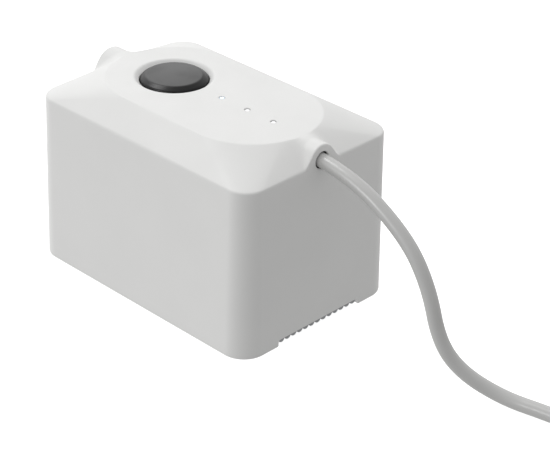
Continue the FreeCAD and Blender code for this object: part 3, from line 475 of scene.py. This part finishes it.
def make_plug():
    body_low, body_high = box_mm("plug_body")
    bush_low, bush_high = box_mm("plug_bush")
    y, z = (body_low.y + body_high.y) / 2, (bush_low.z + bush_high.z) / 2
    width, height = (body_high.y - body_low.y) / 2, (body_high.z - body_low.z) / 2
    length = body_high.x - body_low.x
    grid = bmesh.new()
    # sections from the pin face back to the bush: a flat body that narrows towards the cord
    sections = [(0.0, 0.90, 0.86), (0.02, 0.965, 0.94), (0.06, 1.0, 0.99), (0.30, 1.0, 1.0),
                (0.42, 0.97, 0.99), (0.60, 0.86, 0.96), (0.80, 0.70, 0.92), (0.94, 0.58, 0.88),
                (0.985, 0.54, 0.84), (1.0, 0.49, 0.78)]
    rings = [ring_of(grid, super_ring(body_low.x + share * length, a * width, b * height, y, z))
             for share, a, b in sections]
    loft(grid, rings)
    # grip ridges on the two flat sides
    for side in (-1, 1):
        for k in range(4):
            x = body_low.x + (0.38 + 0.11 * k) * length
            ridge = bmesh.ops.create_uvsphere(grid, u_segments=20, v_segments=10, radius=1)["verts"]
            bmesh.ops.scale(grid, vec=(0.55, width * (0.52 - 0.07 * k), 0.45), verts=ridge)
            bmesh.ops.translate(grid, vec=(x, y, z + side * height * (0.985 - 0.012 * k)), verts=ridge)
    body = finish_mesh("plug_shell", grid, "plug_grey", sharp=40)
    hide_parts("plug_body")

    # the strain relief: stepped rings that narrow to the cord, with slits between them
    grid = bmesh.new()
    span = bush_high.x - bush_low.x
    wide, narrow = (bush_high.z - bush_low.z) / 2, CORD_RADIUS + 0.6
    profile = [(0, 0)]
    for k in range(BUSH_RINGS):
        start, end = span * k / BUSH_RINGS, span * (k + BUSH_RING_SHARE) / BUSH_RINGS
        radius = wide + (narrow - wide) * (k + 0.3) / BUSH_RINGS
        slit = radius - BUSH_SLIT_DEPTH
        profile += [(radius - 0.25, start), (radius, start + 0.3), (radius, end - 0.3), (radius - 0.25, end),
                    (slit, end + 0.05), (slit, span * (k + 1) / BUSH_RINGS - 0.05)]
    profile += [(narrow - 0.5, span), (0, span)]
    lathe(grid, profile, count=40, turn=along_x(bush_low.x, y, z))
    bush = finish_mesh("plug_strain_relief", grid, "plug_grey", sharp=50)
    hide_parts("plug_bush")

    # two round pins, each with a rounded tip and a thinner shank
    pins_low, pins_high = box_mm("plug_pins")
    reach = pins_high.x - pins_low.x
    grid = bmesh.new()
    tip = rounded([(0, 0), (PIN_RADIUS, 0), (PIN_RADIUS, reach)], PIN_TIP_ROUND)
    profile = [*tip[:-1], (PIN_RADIUS, PIN_SHANK_START), (PIN_SHANK_RADIUS, PIN_SHANK_START),
               (PIN_SHANK_RADIUS, reach), (0, reach)]
    for side in (-1, 1):
        lathe(grid, profile, count=32, turn=along_x(pins_low.x, y + side * PIN_OFFSET, z))
    pins = finish_mesh("plug_contact_pins", grid, "pin_brass", sharp=40)
    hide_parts("plug_pins")
    return [body, bush, pins]


TIE_THICKNESS = 0.9


def make_tie():
    """A woven band with rounded edges over the turns on one side of the coil."""
    low, high = box_mm("cord_tie")
    grid = bmesh.new()
    step_x = TURN_STEP / 2
    corners = [(low.x, 0.1), (low.x, TURN_STEP + 0.6), (low.x + step_x + 0.6, high.z),
               (high.x - step_x - 0.6, high.z), (high.x, TURN_STEP + 0.6), (high.x, 0.1)]
    path = [Vector((x, z)) for x, z in rounded(corners, 3.0, 8)]
    half, thick = (high.y - low.y) / 2, TIE_THICKNESS
    y = (low.y + high.y) / 2
    rings = []
    for k, spot in enumerate(path):
        ahead, behind = path[min(k + 1, len(path) - 1)], path[max(k - 1, 0)]
        along = (ahead - behind).normalized()
        inward = Vector((along.y, -along.x))
        section = [(-half, 0.35), (-half + 0.35, 0.0), (half - 0.35, 0.0), (half, 0.35), (half, thick - 0.2),
                   (half - 0.3, thick), (-half + 0.3, thick), (-half, thick - 0.2)]
        rings.append(ring_of(grid, [(spot.x + inward.x * depth, y + across, spot.y + inward.y * depth)
                                    for across, depth in section]))
    loft(grid, rings)
    weave = woven("tie_weave", (0.03, 0.03, 0.032))
    tie = finish_mesh("cord_tie_band", grid, "rubber_black", material=weave)
    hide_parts("cord_tie")
    return tie


def make_cord_and_ends():
    cord = make_cord()
    fittings = [*make_plug(), make_tie()]


make_cord_and_ends()
paint_frame()

# --- cover --------------------------------------------------------------------------------------------------

WALL_TOP = 90.0
DRAFT = 1.6
CORNER = 11.3
PLATEAU_LENGTH, PLATEAU_WIDTH = 123.8, 70.4
PLATEAU_ROUND = 4.0
END_FAN = math.radians(20)
EDGE_ROUND = 0.9
FOOT_ROUND = 0.8
WALL = 3.0
ROOF_UNDERSIDE = 97.0
SNOUT_RADIUS = 8.2
SNOUT_FLANK = math.radians(53)
SNOUT_BLEND, NECK_BLEND = 2.0, 16.0
INLET_WIDENING = 1.1
CORD_HEIGHT = 91.6
DISH_RADIUS, WELL_RADIUS, WELL_TOP = 20.0, 17.75, 98.1
LIGHT_HOLE = 1.6
NOTCH_HALF, NOTCH_TOP, NOTCH_ROUND = 28.2, 4.1, 1.6
CORD_HOLE, INLET_HOLE, HOLE_DEPTH = 4.4, 5.5, 14
GROMMET_OUTER, GROMMET_START, GROMMET_END = 4.35, -1.2, -3.4
# the swelling of the wall under the inlet: half its width, its fading at each side, its start and its rise
SWELL_HALF, SWELL_FADE, SWELL_START, SWELL_RISE = 8, 8, 62, 18
# how far up the wall its rings lie
WALL_SHARES = (0.04, 0.1, 0.2, 0.4, 0.6, 0.68, 0.72, 0.76, 0.8, 0.84, 0.88, 0.92, 0.96)
FOOT_STEPS, EDGE_STEPS, SLOPE_STEPS, PLATEAU_STEPS = 4, 6, 24, 8


def spread(start, end, count):
    return [start + (end - start) * k / count for k in range(count)]


# where the points of an outline lie, as a share of each end side, corner and long side
END_SHARES = spread(-1, -0.4, 8) + spread(-0.4, 0.4, 80) + spread(0.4, 1, 8)
CORNER_SHARES = spread(0, 1, 28)
SIDE_SHARES = spread(-1, 1, 16)


def outline(length, width, radius):
    """Points of a rounded rectangle and their outward directions, counter-clockwise from the +X side."""
    flat_x, flat_y = length / 2 - radius, width / 2 - radius
    points = []
    for quarter in range(4):
        turn = math.pi / 2 * quarter
        end = quarter % 2 == 0
        along, across = (flat_y, length / 2) if end else (flat_x, width / 2)
        centre = (flat_x, flat_y) if end else (flat_y, flat_x)
        local = [((across, share * along), 0.0) for share in (END_SHARES if end else SIDE_SHARES)]
        for share in CORNER_SHARES:
            angle = math.pi / 2 * share
            spot = (centre[0] + radius * math.cos(angle), centre[1] + radius * math.sin(angle))
            local.append((spot, angle))
        for (x, y), angle in local:
            c, s = math.cos(turn), math.sin(turn)
            out = Vector((math.cos(angle + turn), math.sin(angle + turn)))
            points.append((Vector((x * c - y * s, x * s + y * c)), out))
    return points


def snout_height(y, base, top):
    """Height across a snout: a round ridge, with straight flanks that flare out towards the plateau."""
    y = abs(y)
    touch = SNOUT_RADIUS * math.sin(SNOUT_FLANK)
    if y <= touch:
        ridge = CORD_HEIGHT + math.sqrt(SNOUT_RADIUS ** 2 - y ** 2)
    else:
        ridge = CORD_HEIGHT + SNOUT_RADIUS * math.cos(SNOUT_FLANK) - math.tan(SNOUT_FLANK) * (y - touch)
    drops = sorted((top - base, top - ridge))
    if drops[0] <= 0:
        return top
    risen = min(max((base - WALL_TOP) / (top - WALL_TOP), 0), 1)
    widest = SNOUT_BLEND + (NECK_BLEND - SNOUT_BLEND) * risen ** 2
    blend = 2 * sum(drops) * widest / (2 * sum(drops) + widest)
    overlap = max(blend - (drops[1] - drops[0]), 0) / blend
    return top - max(drops[0] - overlap ** 2 * blend / 4, 0)


def inlet_swell(y, height):
    """How far the -X wall stands out round the inlet, up to the vertical line through its foot."""
    across = ease(1, 0, (abs(y) - SWELL_HALF) / SWELL_FADE)
    up = ease(0, 1, (height - SWELL_START) / SWELL_RISE)
    return -DRAFT * min(height, WALL_TOP) / WALL_TOP * across * up


def plateau_outline():
    """Points of the plateau's outline, matched to those of the cover's edge, and their outward directions."""
    radius = PLATEAU_WIDTH / 2
    flat = PLATEAU_LENGTH / 2 - radius
    points = []

    def add(centre_x, angle):
        out = Vector((math.cos(angle), math.sin(angle)))
        points.append((Vector((centre_x, 0)) + radius * out, out))

    for quarter in range(4):
        turn = math.pi / 2 * quarter
        if quarter % 2 == 0:
            centre_x = flat * math.cos(turn)
            for share in END_SHARES:
                add(centre_x, share * END_FAN + turn)
            for share in CORNER_SHARES:
                add(centre_x, turn + END_FAN + share * (math.pi / 2 - END_FAN))
        else:
            out = Vector((0, math.sin(turn)))
            for share in SIDE_SHARES:
                points.append((Vector((-share * flat * math.sin(turn), 0)) + radius * out, out))
            for share in CORNER_SHARES:
                add(flat * math.cos(turn + math.pi / 2), turn + share * (math.pi / 2 - END_FAN))
    return points


def cover_rings(length, width, top):
    """Rings of the outer surface from the foot up to the flat plateau."""
    edge = outline(length - 2 * DRAFT, width - 2 * DRAFT, CORNER)
    foot = outline(length, width, CORNER + DRAFT)
    plateau = plateau_outline()
    low = box_mm("housing_cover")[0].z
    rise = top - WALL_TOP
    spans = [(s - e).length for (e, _), (s, _) in zip(edge, plateau)]

    def raised(point, base, share=0.0):
        if abs(point.x) < PLATEAU_LENGTH / 4:
            return Vector((*point, base))
        inlet = point.x < 0
        height = snout_height(point.y / (INLET_WIDENING if inlet else 1), base, top)
        swell = inlet_swell(point.y, height) * (1 - share) if inlet else 0
        return Vector((point.x + swell, point.y, height))

    def slope_tangent(span):
        """How far before the plateau's edge the slope starts to round off."""
        return PLATEAU_ROUND * math.tan(math.atan(rise / span) / 2)

    rings = []
    for k in range(FOOT_STEPS + 1):
        angle = math.pi / 2 * k / FOOT_STEPS
        height = low + FOOT_ROUND * (1 - math.cos(angle))
        rings.append([Vector((*(f - out * FOOT_ROUND * (1 - math.sin(angle))), height)) for f, out in foot])
    for share in WALL_SHARES:
        ring = []
        for (f, _), (e, _) in zip(foot, edge):
            rim = raised(e, WALL_TOP).z - EDGE_ROUND
            height = low + FOOT_ROUND + share * (rim - low - FOOT_ROUND)
            spot = f.lerp(e, min(1.0, height / WALL_TOP))
            swell = inlet_swell(spot.y, height) if spot.x < -PLATEAU_LENGTH / 2 else 0
            ring.append(Vector((spot.x + swell, spot.y, height)))
        rings.append(ring)
    for k in range(EDGE_STEPS + 1):
        angle = math.pi / 2 * k / EDGE_STEPS
        inset = EDGE_ROUND * (1 - math.cos(angle))
        ring = []
        for (e, _), (s, _), span in zip(edge, plateau, spans):
            spot = raised(e.lerp(s, inset / span), WALL_TOP + rise * inset / span, inset / span)
            ring.append(spot - Vector((0, 0, EDGE_ROUND * (1 - math.sin(angle)))))
        rings.append(ring)
    for k in range(1, SLOPE_STEPS + 1):
        ring = []
        for (e, _), (s, _), span in zip(edge, plateau, spans):
            share = (EDGE_ROUND + (span - EDGE_ROUND - slope_tangent(span)) * k / SLOPE_STEPS) / span
            ring.append(raised(e.lerp(s, share), WALL_TOP + rise * share, share))
        rings.append(ring)
    for k in range(1, PLATEAU_STEPS + 1):
        t = k / PLATEAU_STEPS
        ring = []
        for (e, _), (s, out), span in zip(edge, plateau, spans):
            tangent = slope_tangent(span)
            start, end = s + (e - s) / span * tangent, s - out * tangent
            spot = (1 - t) ** 2 * start + 2 * t * (1 - t) * s + t ** 2 * end
            height = top - (1 - t) ** 2 * rise * tangent / span
            ring.append(raised(spot, height, 1 - (1 - t) ** 2 * tangent / span))
        rings.append(ring)
    rings.append([Vector((*(s - out * 3), top)) for s, out in plateau])
    return rings


def inner_rings(length, width, low):
    """Rings of the inside, from the foot up to the roof's underside."""
    rings = []
    for change, height in ((-2 * WALL, low), (-2 * DRAFT - 2 * WALL, WALL_TOP - 2.3)):
        ring = outline(length + change, width + change, CORNER - WALL + 0.8)
        rings.append([Vector((*p, height)) for p, _ in ring])
    rings.append([Vector((*p, ROOF_UNDERSIDE)) for p, _ in
                  outline(PLATEAU_LENGTH - 2.8, PLATEAU_WIDTH - 2.8, PLATEAU_WIDTH / 2 - 1.6)])
    return rings


def flat_with_holes(grid, rim, holes):
    """Fills the flat area between a rim and the holes in it."""
    loops = [rim, *holes]
    verts = [vert for loop in loops for vert in loop]
    for triangle in tessellate_polygon([[vert.co for vert in loop] for loop in loops]):
        grid.faces.new([verts[k] for k in triangle])


def cut_away(piece, cutters):
    """Subtracts the cutters, keeps the result as the piece's own mesh, and removes them."""
    for tool in cutters:
        step = piece.modifiers.new(tool.name, "BOOLEAN")
        step.operation = "DIFFERENCE"
        step.solver = "EXACT"
        step.object = tool
    shown = piece.evaluated_get(bpy.context.evaluated_depsgraph_get())
    mesh = bpy.data.meshes.new_from_object(shown)
    piece.modifiers.clear()
    piece.data = mesh
    for tool in cutters:
        bpy.data.objects.remove(tool)


def notch_cutter(side, reach):
    """A bar with round upper corners that crosses one end wall at the foot."""
    grid = bmesh.new()
    foot = box_mm("housing_cover")[0].z - 0.05
    flange = NOTCH_HALF + 5
    half = [(flange, -3), (flange, foot), (NOTCH_HALF, foot), (NOTCH_HALF, NOTCH_TOP)]
    section = rounded([(-y, z) for y, z in half] + half[::-1], NOTCH_ROUND, 6)
    ends = [ring_of(grid, [(side * x, y, z) for y, z in section]) for x in (reach - WALL - 2, reach + 5)]
    loft(grid, ends)
    return mesh_object("notch", grid)


def hole_cutter(side, face, radius, flare):
    """A round cutter along X through a snout's end, with a small flare at the mouth."""
    grid = bmesh.new()
    profile = [(0, -3), (radius + flare, -3), (radius + flare, 0), (radius, flare), (radius, HOLE_DEPTH),
               (0, HOLE_DEPTH)]
    lathe(grid, profile, count=64, turn=along_x(side * face, 0, CORD_HEIGHT, -side))
    bmesh.ops.remove_doubles(grid, verts=grid.verts, dist=1e-5)
    return mesh_object("round_hole", grid)


def make_cover():
    low, high = box_mm("housing_cover")
    length, width, top = high.x - low.x, high.y - low.y, high.z
    button_low, button_high = box_mm("button_cap")
    button_x = (button_low.x + button_high.x) / 2
    lights = [sum(corner.x for corner in box_mm(f"light_guide_{k}")) / 2 for k in (1, 2, 3)]

    grid = bmesh.new()
    outer = [ring_of(grid, ring) for ring in cover_rings(length, width, top)]
    inner = [ring_of(grid, ring) for ring in inner_rings(length, width, low.z)]
    loft(grid, outer, capped=False)
    loft(grid, inner, capped=False)
    bridge(grid, inner[0], outer[0])

    well = rounded([(DISH_RADIUS + 2, top), (DISH_RADIUS, top), (WELL_RADIUS, WELL_TOP)], 3.5, 10)
    well += [(WELL_RADIUS - 0.02, WELL_TOP - 0.2), (WELL_RADIUS, ROOF_UNDERSIDE)]
    light_hole = [(LIGHT_HOLE + 0.15, top), (LIGHT_HOLE, top - 0.15), (LIGHT_HOLE, ROOF_UNDERSIDE)]
    outer_holes, inner_holes = [], []
    for profile, x, count in [(well, button_x, 160), *((light_hole, x, 32) for x in lights)]:
        rings = [ring_of(grid, circle(radius, x, 0, height, count)) for radius, height in profile]
        loft(grid, rings, capped=False)
        outer_holes.append(rings[0])
        inner_holes.append(rings[-1])
    flat_with_holes(grid, outer[-1], outer_holes)
    flat_with_holes(grid, inner[-1], inner_holes)
    cover = finish_mesh("cover_shell", grid, "cover_white", sharp=180)

    face = length / 2 - DRAFT
    cut_away(cover, [notch_cutter(-1, length / 2), notch_cutter(1, length / 2),
                     hole_cutter(1, face, CORD_HOLE, 0.35), hole_cutter(-1, face, INLET_HOLE, 0.5)])
    smooth(cover, 32)
    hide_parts("housing_cover")


def make_grommet():
    """A black collar a little inside the cord's hole."""
    grid = bmesh.new()
    face = box_mm("housing_cover")[1].x - DRAFT
    bore = CORD_RADIUS + 0.05
    profile = rounded([(bore, GROMMET_START), (GROMMET_OUTER, GROMMET_START), (GROMMET_OUTER, GROMMET_END),
                       (bore, GROMMET_END)], 0.3, 3)
    lathe(grid, [*profile, profile[0]], count=64, turn=along_x(face, 0, CORD_HEIGHT))
    finish_mesh("cord_grommet", grid, "rubber_black", sharp=50)


make_cover()
make_grommet()

# --- ribs under the base ------------------------------------------------------------------------------------

RIB_COUNT, RIB_PITCH, RIB_RADIUS, RIB_STEPS = 13, 4.22, 1.98, 14
RIB_REACH, RIB_DROP = 0.55, 0.05
# the rounded end of a rib: how far from the end a section lies, and its share of the radius
RIB_END = ((0, 0.78), (0.06, 0.88), (0.18, 0.95), (0.4, 1.0))


def make_ribs():
    """Half-round bars along X under the base plate, whose rounded ends show in the end notches; their grey is
    painted shade for the shadow under the end walls, on a base that is white.
    """
    low, high = box_mm("base_plate")
    reach, middle, top = high.x + RIB_REACH, low.z - RIB_DROP + RIB_RADIUS, NOTCH_TOP - 0.05
    grid = bmesh.new()
    for k in range(RIB_COUNT):
        y = (k - (RIB_COUNT - 1) / 2) * RIB_PITCH
        sections = []
        for inset, share in RIB_END:
            size = RIB_RADIUS * share
            angles = [math.pi * j / RIB_STEPS for j in range(RIB_STEPS + 1)]
            arc = [(y - size * math.cos(angle), middle - size * math.sin(angle)) for angle in angles]
            sections.append((reach - inset, [*arc, (y + size, top), (y - size, top)]))
        sections += [(-x, section) for x, section in reversed(sections)]
        loft(grid, [ring_of(grid, [(x, across, height) for across, height in section])
                    for x, section in sections])
    # the grey inner plastic on the ribs is painted shade, standing for the shadow under the end walls
    finish_mesh("vent_ribs", grid, "inner_grey", sharp=50)


make_ribs()

# --- button and lights --------------------------------------------------------------------------------------


DOME_RADIUS, DOME_DROP = 13, 0.3
BUTTON_ROUND = 3.6
HOLLOW_TOP = 99.0
SPRING_WIRE, SPRING_TURNS, SPRING_STEPS, WIRE_STEPS = 0.45, 4, 48, 12
DIFFUSER_RADIUS = 1.5
LIGHT_RECESSES = (0.08, 0.45, 0.45)
WHITE_TINT, BLUE_TINT = ((0.95, 0.97, 1.0), (0.6, 0.6, 0.6)), ((0.72, 0.88, 1.0), (0.62, 0.72, 0.8))
LIGHT_TINTS = (BLUE_TINT, WHITE_TINT, WHITE_TINT)


def make_button():
    """A hollow cap with a slightly domed top, a tapered side and a flange under the cover."""
    low, high = box_mm("button_cap")
    x = (low.x + high.x) / 2
    grid = bmesh.new()
    dome = [(r, high.z - DOME_DROP * (r / DOME_RADIUS) ** 2) for r in (0, 3, 6, 9, 11, DOME_RADIUS)]
    side = rounded([dome[-1], (14.4, high.z - 0.37), (16.9, 99.2), (17.3, 98.0), (16.9, 97.85),
                    (16.9, low.z + 1.2), (18.5, low.z + 1.2), (18.5, low.z), (15.3, low.z)], BUTTON_ROUND, 10)
    lathe(grid, [*dome[:-1], *side, (15.3, HOLLOW_TOP), (0, HOLLOW_TOP)], x, 0, 160)
    cap = finish_mesh("button_dome", grid, "button_black", body="button", sharp=60)
    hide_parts("button_cap")


def make_spring():
    """The button's coil spring at its rest length, on a mesh of its own."""
    low, high = box_mm("button_spring")
    centre = (low + high) / 2
    radius = (high.x - low.x) / 2 - SPRING_WIRE
    count = SPRING_TURNS * SPRING_STEPS
    up = Vector((0, 0, 1))
    wire_angles = [math.tau * j / WIRE_STEPS for j in range(WIRE_STEPS)]
    grid = bmesh.new()
    loops = []
    for k in range(count + 1):
        angle = math.tau * k / SPRING_STEPS
        out = Vector((math.cos(angle), math.sin(angle), 0))
        height = low.z + SPRING_WIRE + (high.z - low.z - 2 * SPRING_WIRE) * k / count
        middle = Vector((centre.x, centre.y, height)) + radius * out
        loops.append(ring_of(grid, [middle + SPRING_WIRE * (math.cos(a) * out + math.sin(a) * up)
                                    for a in wire_angles]))
    loft(grid, loops)
    spring = finish_mesh("return_spring", grid, "spring_steel", sharp=60)
    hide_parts("button_spring")
    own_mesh(spring)


def diffuser(name, colour, edge_colour, x):
    """A lit diffuser at x: bright in the middle and fading to its rim, over a frosted surface."""
    nodes = Nodes(name)
    offset = nodes.add("ShaderNodeVectorMath", Vector=nodes.place)
    offset.operation = "SUBTRACT"
    offset.inputs[1].default_value = mm(x, 0, 0)
    flat = nodes.add("ShaderNodeMapping", Vector=offset.outputs["Vector"], Scale=(1, 1, 0)).outputs["Vector"]
    distance = nodes.add("ShaderNodeVectorMath", Vector=flat)
    distance.operation = "LENGTH"
    share = nodes.add("ShaderNodeMath", Value=distance.outputs["Value"])
    share.operation = "MULTIPLY"
    share.inputs[1].default_value = 1000 / DIFFUSER_RADIUS
    nodes.set("Base Color", nodes.ramp(nodes.noise(1.2), shade(edge_colour, 0.95), edge_colour))
    nodes.set("Roughness", 0.35)
    nodes.set("Emission Color", nodes.ramp(share.outputs["Value"], colour, (0.0, 0.0, 0.0), 0.45, 0.8))
    nodes.set("Emission Strength", 0.9)
    nodes.bump(nodes.noise(3.0), 0.02)
    return nodes.material


def make_lights():
    """Three small diffusers a little below the surface, the first one faintly blue."""
    radius = DIFFUSER_RADIUS
    for k, ((lit, rim), recess) in enumerate(zip(LIGHT_TINTS, LIGHT_RECESSES), start=1):
        low, high = box_mm(f"light_guide_{k}")
        x, top, collar = (low.x + high.x) / 2, high.z - recess, high.z - 3.0
        grid = bmesh.new()
        profile = rounded([(0, top), (radius, top - 0.12), (radius, collar), (radius + 1, collar),
                           (radius + 1, collar - 1.4), (radius, collar - 1.4), (radius, low.z), (0, low.z)],
                          0.3, 4)
        lathe(grid, profile, x, 0, 48)
        material = diffuser(f"lit_{k}", lit, rim, x)
        lens = finish_mesh(f"light_lens_{k}", grid, "guide_clear", material=material, sharp=40)
        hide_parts(f"light_guide_{k}")


make_button()
make_spring()
make_lights()

# --- floor and light ----------------------------------------------------------------------------------------


FLOOR_REACH, FLOOR_DROP, FLOOR_GLOW = 6.0, 0.0002, 0.75
# a soft surrounding light: its mean strength, and how much it grows towards one side
LIGHT_MEAN = 0.768
LIGHT_LEAN = (-0.465, 0.07, 0.19)
# round lamps that only give highlights, aimed at one point: name, place, width and power
LAMP_TARGET = (0.08, 0, 0.06)
LAMPS = (("back", (-1.42, 0.89, 1.2), 1.5, 6.5), ("top", (-0.95, -0.27, 1.8), 0.9, 13),
         ("front", (-0.25, -1.5, 0.6), 0.5, 6))


def make_lamp(name, place, size, power):
    data = bpy.data.lights.new(name, "AREA")
    data.shape = "DISK"
    data.size = size
    data.energy = power
    lamp = new_object(name, data)
    lamp.location = place
    lamp.rotation_euler = (Vector(LAMP_TARGET) - Vector(place)).to_track_quat("-Z", "Y").to_euler()
    lamp.visible_diffuse = False


def make_stage():
    """A pale floor that gives off some light of its own, but doesn't light the object."""
    mesh = bpy.data.meshes.new("floor")
    corners = [(x * FLOOR_REACH, y * FLOOR_REACH, 0) for x, y in ((-1, -1), (1, -1), (1, 1), (-1, 1))]
    mesh.from_pydata(corners, [], [(0, 1, 2, 3)])
    floor = new_object("floor", mesh)
    floor.location.z = -FLOOR_DROP
    nodes = Nodes("floor_white")
    nodes.set("Base Color", nodes.ramp(nodes.noise(0.002), (0.93, 0.93, 0.93), (0.94, 0.94, 0.94)))
    nodes.set("Roughness", 0.9)
    nodes.set("Specular IOR Level", 0.1)
    nodes.set("Emission Color", (1, 1, 1, 1))
    nodes.set("Emission Strength", FLOOR_GLOW)
    paint(floor, nodes.material)
    floor.visible_diffuse = False
    floor.visible_glossy = False


def make_light():
    """The world's soft light, the lamps, and colours shown without a film look."""
    world = bpy.data.worlds.new("studio")
    bpy.context.scene.world = world
    world.use_nodes = True
    tree = world.node_tree
    direction = tree.nodes.new("ShaderNodeTexCoord").outputs["Generated"]
    lean = tree.nodes.new("ShaderNodeVectorMath")
    lean.operation = "DOT_PRODUCT"
    tree.links.new(direction, lean.inputs[0])
    lean.inputs[1].default_value = LIGHT_LEAN
    strength = tree.nodes.new("ShaderNodeMath")
    strength.operation = "ADD"
    tree.links.new(lean.outputs["Value"], strength.inputs[0])
    strength.inputs[1].default_value = LIGHT_MEAN
    tree.links.new(strength.outputs["Value"], tree.nodes["Background"].inputs["Strength"])
    tree.nodes["Background"].inputs["Color"].default_value = (1, 1, 1, 1)
    for lamp in LAMPS:
        make_lamp(*lamp)
    view = bpy.context.scene.view_settings
    view.view_transform = "Standard"
    view.look = "None"


make_stage()
make_light()
